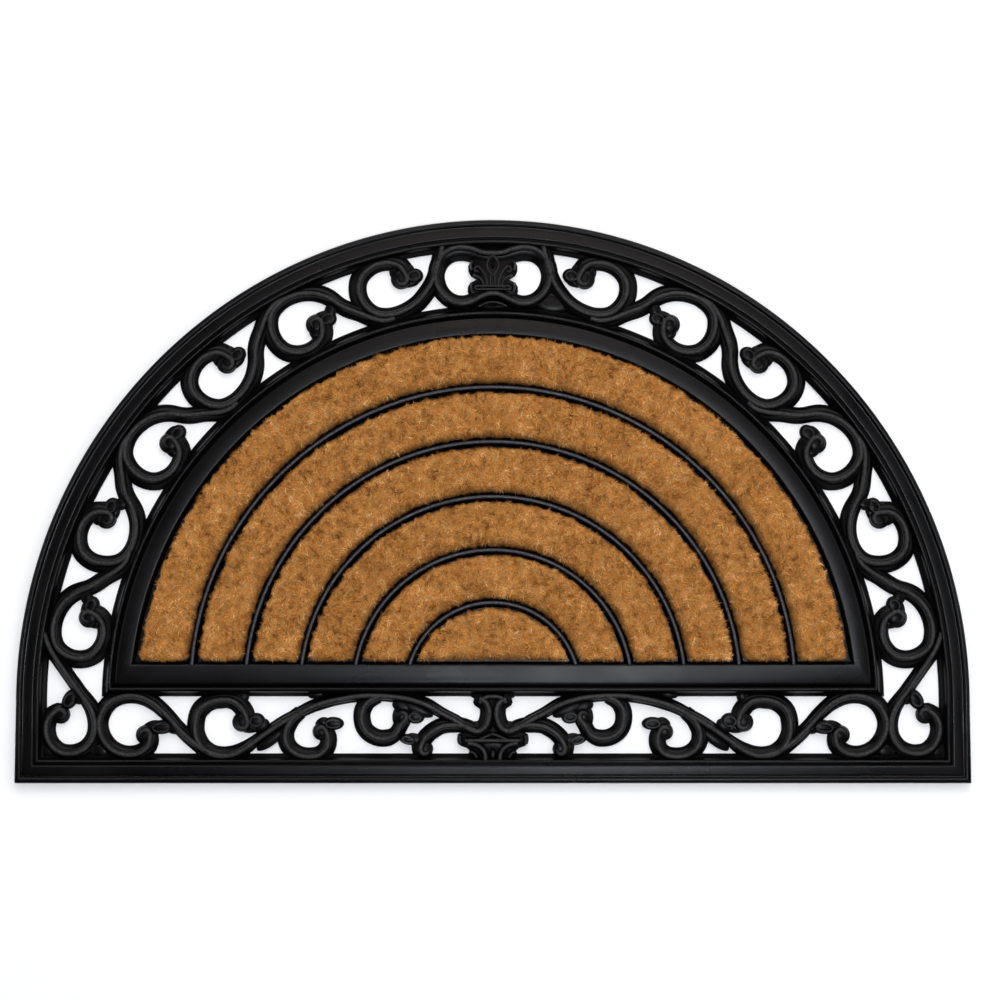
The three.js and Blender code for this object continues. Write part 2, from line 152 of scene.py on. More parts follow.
# Hooked end of a bead on the boss of a curl, whose radius comes first: degrees around the
# boss from where the bead meets it, and its distance from the middle there.
CURL_BOSS = 8.2
HOOK = ((0, 4.9), (45, 5.0), (90, 4.9), (135, 4.5), (180, 3.9), (225, 3.1))
# How deep a bead sinks into its boss, over this length. Height of a boss.
HOOK_SINK, HOOK_RUN, BOSS_TOP = 1.6, 12, 5.4
# Length over which a ledge narrows to its boss, and its last half width: a share of the
# boss's radius and a bit more.
LEDGE_RUN, LEDGE_SHARE, LEDGE_MORE = 14, 0.4, 0.4
# Leaf: height, size of its raised outline as shares of its own, points and half width of it.
LEAF_TOP, LEAF_OUTLINE, LEAF_POINTS, LEAF_LINE = 4.4, (0.62, 0.55), 10, 0.8

# One curl of the running scroll, along the arch and towards the rim: its stem, then its
# round, and last the middle of its boss.
STEM = ((-84, 23.2), (-75, 23), (-65, 19), (-53.5, 11))
STEEP_STEM = ((-52, 26), (-47, 13.5))
CURL = (
    (-41, 1.5), (-32.8, -7.6), (-22, -15.2), (-8, -19.6), (6, -19.8), (18, -15.5),
    (25, -6.5), (26.4, 4), (21.8, 13.8), (10.5, 20.2), (-2.5, 20.9), (-12.6, 16.6), (-12.5, 6),
)
# Leaf, low fillings and tie of a curl: place, half length and width, turn.
CURL_LEAF = (-24.3, 6, 7.2, 6.2, 4)
CURL_FILLINGS = ((-18.5, 2.4, 8.6, 4.4, -4), (-20, 11.5, 5.2, 5, 40), (-8.6, 11.5, 4.6, 6.5, 0))
CURL_TIE = (-30, 0.5, 6.5, 5, -40)
CURL_DEPTH = 43.8
# Middle of the curl along the arch, its size, its stem, the side that it opens to, how
# deep its lower bend is, and whether a tie holds its leaf to the stem.
ARCH_CURLS = (
    (94, 1, STEEP_STEM, 1, 0.98, False), (179.5, 1, STEM, -1, 1.11, True),
    (265.5, 1, STEM, 1, 1.01, False), (352, 1, STEM, -1, 1.11, False),
    (438, 0.98, STEM, 1, 1.12, True), (525.5, 0.95, STEM, -1, 1.04, True),
)

# Freehand bars of the right half below the arch, from their root to the middle of
# their boss: across, and up from the straight edge.
FREEHAND_BARS = {
    "corner_curl": (
        (352, 118), (347, 105), (336, 88), (324, 71), (315, 58), (312, 46), (313.5, 35.5),
        (319.5, 27.5), (329, 23.4), (340, 24.6), (347.5, 31.5), (350.4, 41.5), (348.5, 50.5),
        (339.5, 53.5),
    ),
    "row_curl": (
        (211, 21.3), (224, 24.8), (235, 32), (245, 41.3), (256, 53.5), (267, 63), (277, 67.6),
        (288, 68.4), (297.5, 65.5), (304.8, 58.5), (308.8, 47), (306.5, 36), (299.5, 27),
        (289, 22.4), (278, 23.4), (270.5, 28.8), (273, 37.5),
    ),
    "long_bar": (
        (10.5, 66.5), (5.6, 63.5), (3.0, 58), (3.2, 51), (5.8, 44.4), (11.5, 40.8), (17.5, 42),
        (24, 45.8), (31, 50), (40, 54.6), (50.5, 60.6), (61.7, 64.7), (73, 67.2), (100, 68.6),
        (118, 66.2), (131, 63.4), (142.5, 59.6), (153.5, 54), (164.5, 48), (175.5, 40.8),
        (186.5, 33), (193.5, 27.8), (201.5, 23.4), (211, 21.3), (221, 22.8), (229, 29),
        (233, 38), (233.4, 47), (231, 56), (224, 62.5), (213, 65.4), (203, 64), (196, 57.5),
        (197, 47.5),
    ),
    "spur_curl": (
        (151, 55.5), (158, 49), (162.5, 40.5), (162.2, 32), (158.4, 26), (152, 22), (144, 20.8),
        (136, 22.3), (130.4, 27.5), (129.2, 35), (135, 40),
    ),
    "drop_curl": (
        (90, 67.8), (98.5, 63), (102.4, 56.5), (102.8, 49.5), (101, 43), (96.5, 38), (89.5, 35),
        (82, 35.3), (75.8, 39), (72, 45.5), (71.5, 52),
    ),
    "side_branch": (
        (14, 41.5), (22.8, 44.7), (31, 45.5), (39.5, 44.6), (46.8, 41), (52.5, 36), (55.8, 30.5),
        (53, 26.5),
    ),
}
BOSS_RADIUS = {
    "corner_curl": 7.4, "row_curl": 7.6, "long_bar": 7.8, "spur_curl": 6.8, "drop_curl": 6.2,
    "side_branch": 6.2,
}

# Leaves beside the bosses of the right half: place, half length and width, turn.
FREEHAND_LEAVES = (
    (332, 65.5, 9, 5.8, 122), (260, 43.6, 10.5, 5.6, 174), (186, 48.4, 7.2, 6.4, 0),
    (125.5, 46.4, 8.6, 5.2, 0), (61, 51.8, 7.4, 5.6, 6), (66.5, 33.8, 7.6, 4.2, 14),
)

# Plates that carry the ornament of the right half: across and up from the edge, or
# for the leaf down from the arch's top. Each one's first and last points are on the
# middle line.
CAP_PLATE = (
    (0, 71), (18, 71), (17.2, 67.4), (14.8, 66), (15.6, 63), (14.6, 60.8), (11.4, 58.6),
    (8.8, 57), (8, 52), (9, 46), (0, 43),
)
PEDESTAL_PLATE = (
    (0, 46), (14, 41), (22, 40.2), (27.4, 38), (28, 32), (25.4, 28.8), (20.6, 27.2), (16.4, 23.6),
    (15.4, 19), (0, 19),
)
LEAF_PLATE = (
    (0, 25), (13, 27), (17, 31), (19.4, 35.6), (19.2, 40), (17.6, 43.4), (12.8, 46.4),
    (17.8, 48.8), (19.6, 52), (19.8, 56), (18, 61), (0, 61),
)
PLATE_TOP = 3.2
# Softened edge of a plate: share of its outline, and depth below its top.
PLATE_EDGE = ((1.0, 1.0), (0.985, 0.3), (0.95, 0.0))
# Low fillings between bars: place, half length and width, turn.
FILLING_TOP = 3.6
FILLINGS = (
    (309, 24.5, 8, 6, 0), (350, 25, 7, 7, 0), (0, TOP_Y - BASE_Y - 67, 14, 3.4, 0),
    (60, 57.5, 14, 4.6, 22), (61, 33.5, 8, 5, 20), (59, 28, 5, 8, 0), (182, 44.5, 7, 5.5, -30),
    (191, 43.4, 9, 4.6, 0), (214, 62.5, 15, 4.6, -4), (138, 69.2, 7.5, 3.4, -8),
    (196.5, 67.5, 5, 5, 30), (268, 44, 8, 4.5, -20), (134, 46.5, 6, 4.6, -30),
    (251, 43, 6, 5, 20), (326, 67, 6, 5, 60), (174.5, 33.6, 13.5, 4.6, -37),
    (71, 59.5, 8.5, 5, 20), (74, 52.5, 5, 8.5, 8), (13, 46.2, 4.4, 2.0, 6),
)

# Thin web on the right of the loop only: middle, half length and width, turn.
FLASH = (46, TOP_Y - 64.5, 16.5, 8.5, -8)

# Raised strokes of the right half, each mirrored: thick and slim ones of the pedestal,
# up from the straight edge, and thin lines of the leaf, down from the arch's top.
THICK_STROKES = (
    ((0, 68), (4.5, 67.6), (8, 65.8), (10.5, 63)),
    ((19.5, 31.4), (13, 30), (8.4, 27), (6, 22.5), (5.6, 17.5)),
)
SLIM_STROKES = (
    ((0, 38.6), (5.5, 36.6), (11, 34)), ((25.4, 37), (26, 34), (25.2, 31)),
    ((18.5, 24.8), (15, 23.6), (12.6, 20)),
)
LEAF_LINES = (
    ((0, 27.6), (2.6, 30), (4.4, 34), (4.2, 37.5), (2.3, 41), (0.6, 43.4)),
    ((1.7, 43.5), (1.7, 47), (1.7, 51)),
    (
        (4.4, 51.2), (5, 46.5), (6.8, 42), (9.3, 38.2), (12, 36.2), (14.2, 37.4), (13.6, 40.2),
        (11.2, 40),
    ),
    ((7.2, 51.2), (8.3, 47.6), (11, 44.8), (15.2, 42.6)),
    ((16.2, 32), (17.3, 35.5), (16.5, 38.8)), ((16.2, 49.5), (17, 53), (15.6, 57)),
    ((0, 51.7), (7, 51.7), (13, 51.7), (14.2, 52.9), (13, 54.1), (7, 54.1), (0, 54.1)),
    ((0, 64.2), (5, 64.8), (11, 67.6)),
)
# Level stroke across the pedestal's middle.
LEVEL_STROKE = ((-21.5, 33.4), (0, 33.4), (21.5, 33.4))
# Width of each kind of stroke as a share of a scroll's bead, and how much lower it is.
THICK, SLIM, LEVEL = (0.95, 0.4), (0.75, 0.8), (0.85, 0.4)
# Small knobs on the middle line: place, half length and width, turn, height.
LEAF_KNOB = (0, TOP_Y - 35.2, 1.5, 3.4, 0, 5.0)
PEDESTAL_KNOB = (0, BASE_Y + 22.5, 2.6, 5.0, 0, 6.6)

# Section of a rounded knob: share of its radius and of its height.
KNOB_SECTION = (
    (1.0, 0.0), (1.0, 0.34), (0.975, 0.5), (0.91, 0.66), (0.8, 0.8), (0.63, 0.91),
    (0.42, 0.97), (0.2, 1.0),
)

# Double loop around the leaf, right half down from the arch's top, then the reach of its
# ledge: outwards, and inwards at the loop's highest and at its lowest.
TOP_LOOP = (
    (0, 25.6), (8, 25.2), (15.5, 22.6), (24, 21), (32, 22.2), (38.8, 26.4), (43.4, 33),
    (45.4, 41.5), (43.9, 50), (39.4, 58), (32.4, 63.4), (24, 65.2), (16.5, 63.6), (9.5, 60),
    (4.5, 57.8), (0, 57.2),
)
LOOP_LEDGE_OUT, LOOP_LEDGE_TOP, LOOP_LEDGE_BASE = 5.8, 10.6, 6.6

# Rubber: gloss, heights where a painted highlight on its tops starts and is full, and its colour.
BASE_RUBBER = (0.15, 0.0091, 0.00955, (0.050, 0.055, 0.066, 1))
BAR_RUBBER = (0.10, 0.0060, 0.0075, (0.036, 0.035, 0.036, 1))
# Places and colours of each ramp: the rubber's black, the speckle of its painted highlight,
# and the coir's wide and fine changes of tint.
BLACK_STOPS = ((0.3, (0.0006, 0.0005, 0.0007)), (0.7, (0.0014, 0.0012, 0.0014)))
HIGHLIGHT_SPECKLE_STOPS = ((0.36, (0.5, 0.5, 0.5)), (0.64, (1.4, 1.4, 1.4)))
WIDE_TINTS = ((0.3, (1.0, 0.93, 0.84)), (0.7, (1.22, 1.2, 1.18)))
FINE_TINTS = ((0.34, (1.13, 0.88, 0.5)), (0.66, (0.93, 1.08, 1.44)))
# Heights between which the pile brightens, and how dark it is at its foot: painted shade low in the
# pile and down its rounded edges.
PILE_DARK_Z, PILE_LIGHT_Z, PILE_DARK = 0.0052, 0.0114, 0.24

# Lens and sensor in millimetres, place of the camera across and up the mat, and the
# picture's width and its height above the floor.
LENS, SENSOR = 85, 36
CAMERA_PLACE, PICTURE_WIDTH, PICTURE_Z = (0.0056, 0.0013), 0.783, 0.008
WORLD_COLOUR, WORLD_STRENGTH = (0.9, 0.94, 1.0, 1), 0.05
# Lights: name, place, aim, size, power and colour. The two small ones above the mat
# give its flat rubber the sheen of the photo.
LIGHTS = (
    ("key", (0.3, 2.2, 2.0), (0, 0, 0), (3.2, 1.8), 60, (1, 0.98, 0.95)),
    ("left", (-2.3, 0.2, 1.7), (0, 0, 0), (2.2, 2.2), 17, (1, 1, 1)),
    ("right", (2.3, 0.2, 1.7), (0, 0, 0), (2.2, 2.2), 23, (1, 1, 1)),
    ("front", (0.3, -2.3, 1.5), (0, 0, 0), (2.4, 1.4), 14, (0.93, 0.96, 1)),
    ("sheen", (0.13, -0.31, 2.3), (0.06, -0.15, 0), (0.4, 0.28), 15.5, (0.87, 0.91, 1)),
    ("warm_sheen", (0.06, 0.57, 2.3), (0.03, 0.25, 0), (0.7, 0.4), 4.5, (1, 0.86, 0.8)),
)


def outline(side, base):
    """Points around the whole outline, moved in by side and by base."""
    rx, ry = ARCH_RX - side, ARCH_RY - side
    foot = rx + BASE_FLARE * (1 - base / (ARCH_Y - BASE_Y))
    start = max(0.0, math.asin((BASE_Y + base - ARCH_Y) / ry) + ARCH_START)
    angle = np.linspace(start, math.pi - start, ARCH_STEPS + 1)
    arch = np.stack([rx * np.cos(angle), ARCH_Y + ry * np.sin(angle)], -1)
    feet = np.array([[-foot, BASE_Y + base], [foot, BASE_Y + base]])
    return np.concatenate([feet, arch])


def level(flat, z):
    """Flat points lifted to one height."""
    return np.column_stack([flat, np.full(len(flat), z)])


def smooth_path(knots, step, closed=False):
    """Even points along a centripetal Catmull-Rom curve through the knots."""
    knots = np.asarray(knots, float)
    if closed:
        knots = np.concatenate([knots[-1:], knots, knots[:2]])
    else:
        first, last = 2 * knots[0] - knots[1], 2 * knots[-1] - knots[-2]
        knots = np.concatenate([[first], knots, [last]])
    parts = []
    for p0, p1, p2, p3 in zip(knots, knots[1:], knots[2:], knots[3:]):
        gaps = [math.sqrt(np.linalg.norm(b - a)) for a, b in ((p0, p1), (p1, p2), (p2, p3))]
        t0, t1, t2, t3 = np.cumsum([0.0] + gaps)
        t = np.linspace(t1, t2, CURVE_STEPS, endpoint=False)[:, None]
        a1 = ((t1 - t) * p0 + (t - t0) * p1) / (t1 - t0)
        a2 = ((t2 - t) * p1 + (t - t1) * p2) / (t2 - t1)
        a3 = ((t3 - t) * p2 + (t - t2) * p3) / (t3 - t2)
        b1 = ((t2 - t) * a1 + (t - t0) * a2) / (t2 - t0)
        b2 = ((t3 - t) * a2 + (t - t1) * a3) / (t3 - t1)
        parts.append(((t2 - t) * b1 + (t - t1) * b2) / (t2 - t1))
    points = np.concatenate(parts + [knots[-2:-1]])
    run = np.concatenate([[0], np.cumsum(np.linalg.norm(np.diff(points, axis=0), axis=1))])
    count = max(3, int(round(run[-1] / step)) + 1)
    at = np.linspace(0, run[-1], count)
    even = np.stack([np.interp(at, run, points[:, k]) for k in (0, 1)], -1)
    return even[:-1] if closed else even


def ways(path, joined=False):
    """Directions along a flat path, and to the right of it."""
    way = np.roll(path, -1, 0) - np.roll(path, 1, 0) if joined else np.gradient(path, axis=0)
    way /= np.linalg.norm(way, axis=1)[:, None]
    return way, np.stack([way[:, 1], -way[:, 0]], -1)


def bend(path):
    """How sharply a path turns left, from -1 for a sharp right turn to 1."""
    way, _ = ways(path)
    after = np.roll(way, -1, 0)
    turn = np.arctan2(way[:, 0] * after[:, 1] - way[:, 1] * after[:, 0], (way * after).sum(1))
    turn[-1] = turn[-2]
    sharp = np.clip(turn / BAR_STEP * SHARP_RADIUS, -1, 1)
    taps = 2 * BEND_REACH + 1
    return np.convolve(np.pad(sharp, BEND_REACH, "edge"), np.ones(taps) / taps, "valid")


class Soup:
    """Closed shells gathered into one mesh, in millimetres."""

    def __init__(self):
        self.points, self.faces, self.count = [], [], 0

    def add(self, points, faces):
        """Closed triangles, turned over if they face inwards."""
        a, b, c = (points[faces[:, k]] for k in range(3))
        if np.einsum("ij,ij->", a, np.cross(b, c)) < 0:
            faces = faces[:, ::-1]
        self.points.append(points)
        self.faces.append(faces + self.count)
        self.count += len(points)

    def loft(self, rings, joined):
        """Skin over equal rings. Open ends are closed from the middle of the ring."""
        rings = np.asarray(rings, float)
        m, n = rings.shape[:2]
        r, i = np.meshgrid(np.arange(m if joined else m - 1), np.arange(n), indexing="ij")
        here, there = r * n, (r + 1) % m * n
        j = (i + 1) % n
        quads = np.stack([here + i, here + j, there + j, there + i], -1).reshape(-1, 4)
        faces = [quads[:, [0, 1, 2]], quads[:, [0, 2, 3]]]
        points = rings.reshape(-1, 3)
        if not joined:
            middles = rings[[0, -1]].mean(1)
            i = np.arange(n)
            j = (i + 1) % n
            first, last = np.full(n, m * n), np.full(n, m * n + 1)
            faces.append(np.stack([first, j, i], -1))
            faces.append(np.stack([last, (m - 1) * n + i, (m - 1) * n + j], -1))
            points = np.concatenate([points, middles])
        self.add(points, np.concatenate(faces))

    def bar(self, path, profile, joined=False, left=1.0, right=1.0, sink=0.0):
        """Sweep of a profile along a flat path, widened on either side and lowered."""
        path = np.asarray(path, float)
        _, side = ways(path, joined)
        across = np.array([p[0] for p in profile])
        height = np.array([p[1] for p in profile])
        left, right, sink = (np.broadcast_to(w, len(path))[:, None] for w in (left, right, sink))
        wide = across * np.where(across > 0, right, left)
        flat = path[:, None] + side[:, None] * wide[..., None]
        z = np.maximum(height - sink, 0)[..., None]
        self.loft(np.concatenate([flat, z], -1), joined)

    def plate(self, points, z):
        """Low plate with a softened edge, from its outline."""
        points = np.asarray(points, float)
        middle = points.mean(0)
        rings = []
        for share, height in ((1.0, 0.0), *((size, z - drop) for size, drop in PLATE_EDGE)):
            rings.append(level(middle + (points - middle) * share, height))
        self.loft(rings, False)

    def knob(self, x, y, long, wide, turn, z, sides=30):
        """Rounded boss with a flat underside."""
        angle = np.linspace(0, 2 * math.pi, sides, endpoint=False)
        c, s = math.cos(math.radians(turn)), math.sin(math.radians(turn))
        rings = []
        for r, h in KNOB_SECTION:
            u, v = r * long * np.cos(angle), r * wide * np.sin(angle)
            rings.append(np.stack([x + c * u - s * v, y + s * u + c * v, np.full(sides, h * z)], -1))
        self.loft(rings, False)


def build(name, points, faces, sharp):
    """Mesh object on the part's body, from points in millimetres and triangles."""
    mesh = bpy.data.meshes.new(name)
    mesh.vertices.add(len(points))
    mesh.vertices.foreach_set("co", (np.asarray(points) * MM).astype(np.float32).ravel())
    mesh.loops.add(faces.size)
    mesh.loops.foreach_set("vertex_index", faces.astype(np.int32).ravel())
    mesh.polygons.add(len(faces))
    mesh.polygons.foreach_set("loop_start", np.arange(0, faces.size, 3, dtype=np.int32))
    mesh.update(calc_edges=True)
    mesh.polygons.foreach_set("use_smooth", np.ones(len(faces), bool))
    mesh.set_sharp_from_angle(angle=math.radians(sharp))
    mesh.validate()
    piece = bpy.data.objects.new(name, mesh)
    bpy.context.collection.objects.link(piece)
    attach(piece, "root")
    return piece


def soup_object(name, soup, sharp):
    """Mesh object of a soup, with sharp edges above an angle in degrees."""
    return build(name, np.concatenate(soup.points), np.concatenate(soup.faces), sharp)


def along_arch(distance, depth, half):
    """Point in from the arch by a depth, at a distance along it from its top."""
    angle = 2 * distance / (ARCH_RX + ARCH_RY)
    return (
        half * (ARCH_RX - depth) * math.sin(angle),
        ARCH_Y + (ARCH_RY - depth) * math.cos(angle),
    )


def hook(before, boss, turn, radius):
    """Knots that lead a bead from a point around its boss."""
    away = before - boss
    scale = radius / CURL_BOSS
    touch = math.acos(min(1, HOOK[0][1] * scale / np.hypot(*away)))
    start = math.atan2(away[1], away[0]) + turn * touch
    knots = []
    for degrees, reach in HOOK:
        angle = start + turn * math.radians(degrees)
        knots.append(boss + reach * scale * np.array([math.cos(angle), math.sin(angle)]))
    return knots


def nearness(count, step, run):
    """How near each point of a path is to its end, from 0 at a run's length to 1."""
    to_end = np.arange(count)[::-1] * step
    return np.clip(1 - to_end / run, 0, 1) ** 2


def scroll_bar(soup, knots, radius, ledge):
    """Bead on its ledge, which ends in a hook on a round boss, the last knot."""
    knots = [np.asarray(k, float) for k in knots]
    last, final = knots[-2] - knots[-3], knots[-1] - knots[-2]
    turn = 1 if last[0] * final[1] - last[1] * final[0] > 0 else -1
    ring = hook(knots[-2], knots[-1], turn, radius)
    bead = smooth_path(knots[:-1] + ring, BEAD_STEP)
    soup.bar(bead, BEAD_PROFILE, sink=HOOK_SINK * nearness(len(bead), BEAD_STEP, HOOK_RUN))
    path = smooth_path(knots[:-1] + ring[:3], BAR_STEP)
    straight, inside, outside = ledge
    curve = bend(path)
    widths = []
    for side in (curve, -curve):
        wide = straight + (inside - straight) * np.clip(side, 0, 1)
        widths.append(wide + (outside - straight) * np.clip(-side, 0, 1))
    fade = nearness(len(path), BAR_STEP, LEDGE_RUN)
    outer = 1 if turn > 0 else 0
    end_width = radius * LEDGE_SHARE + LEDGE_MORE
    widths[outer] = widths[outer] * (1 - fade) + end_width * fade
    soup.bar(path, LEDGE_PROFILE, left=widths[0], right=widths[1])
    soup.knob(*knots[-1], radius, radius, 0, BOSS_TOP)


def leaf(soup, x, y, long, wide, turn):
    """Small leaf beside a boss: a low dome with a raised outline."""
    soup.knob(x, y, long, wide, turn, LEAF_TOP)
    c, s = math.cos(math.radians(turn)), math.sin(math.radians(turn))
    rim = []
    for k in range(LEAF_POINTS):
        angle = 2 * math.pi * k / LEAF_POINTS
        u = LEAF_OUTLINE[0] * long * math.cos(angle)
        v = LEAF_OUTLINE[1] * wide * math.sin(angle)
        rim.append((x + c * u - s * v, y + s * u + c * v))
    path = smooth_path(rim, STROKE_STEP, closed=True)
    soup.bar(path, LINE_PROFILE, joined=True, left=LEAF_LINE, right=LEAF_LINE)


def arch_curl(soup, half, row):
    """One curl of the running scroll, with its leaf and low fillings."""
    at, size, stem, side, foot, tied = row

    def place(u, v):
        v = v * foot if v < 0 else v
        return along_arch(at + size * u, CURL_DEPTH - side * size * v, half)

    def laid(u, v, long, wide, turn):
        (x, y), (x2, y2) = place(u, v), place(u + 1, v)
        lie = math.degrees(math.atan2(y2 - y, x2 - x)) - half * side * turn
        return x, y, long, wide, lie

    scroll_bar(soup, [place(u, v) for u, v in stem + CURL], CURL_BOSS, ARCH_LEDGE)
    leaf(soup, *laid(*CURL_LEAF))
    for filling in CURL_FILLINGS + (CURL_TIE,) * tied:
        soup.knob(*laid(*filling), FILLING_TOP)


def scrollwork():
    """Openwork border: bars, leaves, fillings and the two middle ornaments."""
    soup = Soup()
    for half in (1, -1):
        for row in ARCH_CURLS:
            arch_curl(soup, half, row)
        for name, rows in FREEHAND_BARS.items():
            knots = [(half * x, BASE_Y + b) for x, b in rows]
            ledge = LONG_LEDGE if name == "long_bar" else FREEHAND_LEDGE
            scroll_bar(soup, knots, BOSS_RADIUS[name], ledge)
        for x, b, long, wide, turn in FREEHAND_LEAVES:
            leaf(soup, half * x, BASE_Y + b, long, wide, half * turn)
        for x, b, long, wide, turn in FILLINGS:
            soup.knob(half * x, BASE_Y + b, long, wide, half * turn, FILLING_TOP)
    ornament(soup)
    piece = soup_object("scrollwork", soup, 50)
    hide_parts("rubber_moulding")
    return piece


def mirrored(points):
    """Closed outline from its right half, whose ends are on the middle line."""
    return list(points) + [(-x, y) for x, y in points[-2:0:-1]]


def stroke(soup, points, kind):
    """Short raised stroke of one of the kinds in the tables."""
    share, lower = kind
    path = smooth_path(points, STROKE_STEP)
    soup.bar(path, BEAD_PROFILE, left=share, right=share, sink=lower)


def ornament(soup):
    """Loop and leaf at the top of the arch, and the pedestal under the panels."""
    loop = [(x, TOP_Y - t) for x, t in mirrored(TOP_LOOP)]
    path = smooth_path(loop, BAR_STEP, closed=True)
    soup.bar(path, BEAD_PROFILE, joined=True)
    low, high = path[:, 1].min(), path[:, 1].max()
    rise = (path[:, 1] - low) / (high - low)
    inner = LOOP_LEDGE_BASE + (LOOP_LEDGE_TOP - LOOP_LEDGE_BASE) * rise**2
    soup.bar(path, LEDGE_PROFILE, joined=True, left=LOOP_LEDGE_OUT, right=inner)
    for outline_rows, up in ((CAP_PLATE, True), (PEDESTAL_PLATE, True), (LEAF_PLATE, False)):
        points = [(x, BASE_Y + t if up else TOP_Y - t) for x, t in mirrored(outline_rows)]
        soup.plate(points, PLATE_TOP)
    for half in (1, -1):
        for kind, strokes in ((THICK, THICK_STROKES), (SLIM, SLIM_STROKES)):
            for rows in strokes:
                stroke(soup, [(half * x, BASE_Y + b) for x, b in rows], kind)
        for rows in LEAF_LINES:
            path = smooth_path([(half * x, TOP_Y - t) for x, t in rows], LINE_STEP)
            soup.bar(path, LINE_PROFILE)
    soup.knob(*FLASH, FILLING_TOP)
    stroke(soup, [(x, BASE_Y + b) for x, b in LEVEL_STROKE], LEVEL)
    soup.knob(*LEAF_KNOB)
    soup.knob(*PEDESTAL_KNOB)


def rib_path(radius, step=3.0):
    """Arc of a rib's middle, from foot to foot."""
    foot = math.asin((BASE_Y + RIB_FOOT - RIB_Y) / radius)
    count = int(radius * math.pi / step)
    angle = np.linspace(foot, math.pi - foot, count)
    return np.stack([radius * np.cos(angle), RIB_Y + radius * np.sin(angle)], -1)


def rim_and_tray():
    """Rim, panel frame, tray floor and ribs."""
    soup = Soup()
    for profile in (RIM_PROFILE, FRAME_PROFILE):
        soup.loft([level(outline(side, base), z) for side, base, z in profile], True)
    edge = outline(TRAY_SIDE, TRAY_BASE)
    soup.loft([level(edge, z) for z in (0.0, FLOOR_TOP)], False)
    for radius in RIB_RADII:
        soup.bar(rib_path(radius), RIB_PROFILE)
    piece = soup_object("rim_and_tray", soup, 50)
    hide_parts("rubber_moulding")
    return piece


class Panel:
    """Four-sided coir panel between two curves, each from the right foot to the left."""

    def __init__(self, name, inner, outer):
        self.name, self.inner, self.outer = name, inner, outer
        t = np.linspace(0, 1, 200)
        near, far = inner(t), outer(t)
        lengths = [np.linalg.norm(np.diff(c, axis=0), axis=1).sum() for c in (near, far)]
        self.length = 0.5 * sum(lengths)
        self.width = np.linalg.norm(far - near, axis=1).mean()
        self.area = self.size(*np.meshgrid(t, t)).mean()

    def place(self, u, v):
        """Point at a share u along and v across, in from rounded corners."""
        near, far = self.inner(u), self.outer(u)
        wide = np.linalg.norm(far - near, axis=-1)
        end = np.minimum(u, 1 - u) * self.length
        left = np.clip(CORNER_RADIUS - end, 0, CORNER_RADIUS)
        drawn_in = CORNER_RADIUS - np.sqrt(CORNER_RADIUS**2 - left**2)
        low = (drawn_in + self.wander(u, RAGGED_IN)) / wide
        high = (drawn_in + self.wander(u, RAGGED_OUT)) / wide
        v = low + v * (1 - low - high)
        return near + (far - near) * v[..., None]

    def wander(self, u, ragged):
        """How far in a ragged edge lies at a share u along the panel."""
        reach, wave, widths = ragged
        return reach * (1 + ripple(u * self.length, self.width * widths, wave))

    def size(self, u, v):
        """Area of the panel for a unit of u and v."""
        step = 1e-3
        before, after = np.maximum(u - step, 0), np.minimum(u + step, 1)
        below, above = np.maximum(v - step, 0), np.minimum(v + step, 1)
        along = (self.place(after, v) - self.place(before, v)) / (after - before)[..., None]
        across = (self.place(u, above) - self.place(u, below)) / (above - below)[..., None]
        return np.abs(along[..., 0] * across[..., 1] - along[..., 1] * across[..., 0])

    def depth(self, u, v):
        """Distance in from the nearest edge."""
        return np.minimum(np.minimum(u, 1 - u) * self.length, np.minimum(v, 1 - v) * self.width)

    def top(self, u, v):
        """Height of the matted pile, rounded down towards its edges."""
        x, y = np.moveaxis(self.place(u, v), -1, 0)
        ends = np.minimum(u, 1 - u) * self.length / PILE_EDGE
        across = np.minimum(v * self.width / PILE_EDGE_IN, (1 - v) * self.width / PILE_EDGE_OUT)
        share = np.clip(np.minimum(ends, across), 0, 1)
        crown = np.sin(share * math.pi / 2)
        return PILE_FOOT + (PILE_TOP - PILE_FOOT) * crown + patches(x, y, LUMP_PATCHES) * crown


def ripple(x, y, cell):
    """Smooth random surface from -1 to 1, with bumps about a cell wide."""
    x, y = x / cell + LATTICE_X, y / cell + LATTICE_Y
    i, j = np.floor(x).astype(int), np.floor(y).astype(int)
    fx, fy = x - i, y - j
    fx, fy = fx * fx * (3 - 2 * fx), fy * fy * (3 - 2 * fy)
    i, next_i = i % LATTICE_SIZE, (i + 1) % LATTICE_SIZE
    j, next_j = j % LATTICE_SIZE, (j + 1) % LATTICE_SIZE
    low = LATTICE[i, j] * (1 - fx) + LATTICE[next_i, j] * fx
    high = LATTICE[i, next_j] * (1 - fx) + LATTICE[next_i, next_j] * fx
    return low * (1 - fy) + high * fy


def patches(x, y, rows):
    """Sum of random surfaces, a row of a patches table for each."""
    return sum(swing * ripple(x + dx, y + dy, cell) for swing, cell, dx, dy in rows)


def round_curve(rx, ry, centre_y, foot_y=COIR_FOOT):
    """Arc over a centre on the middle line, from foot to foot."""
    foot = math.asin((foot_y - centre_y) / ry)

    def curve(t):
        angle = foot + (math.pi - 2 * foot) * np.asarray(t, float)
        return np.stack([rx * np.cos(angle), centre_y + ry * np.sin(angle)], -1)

    return curve


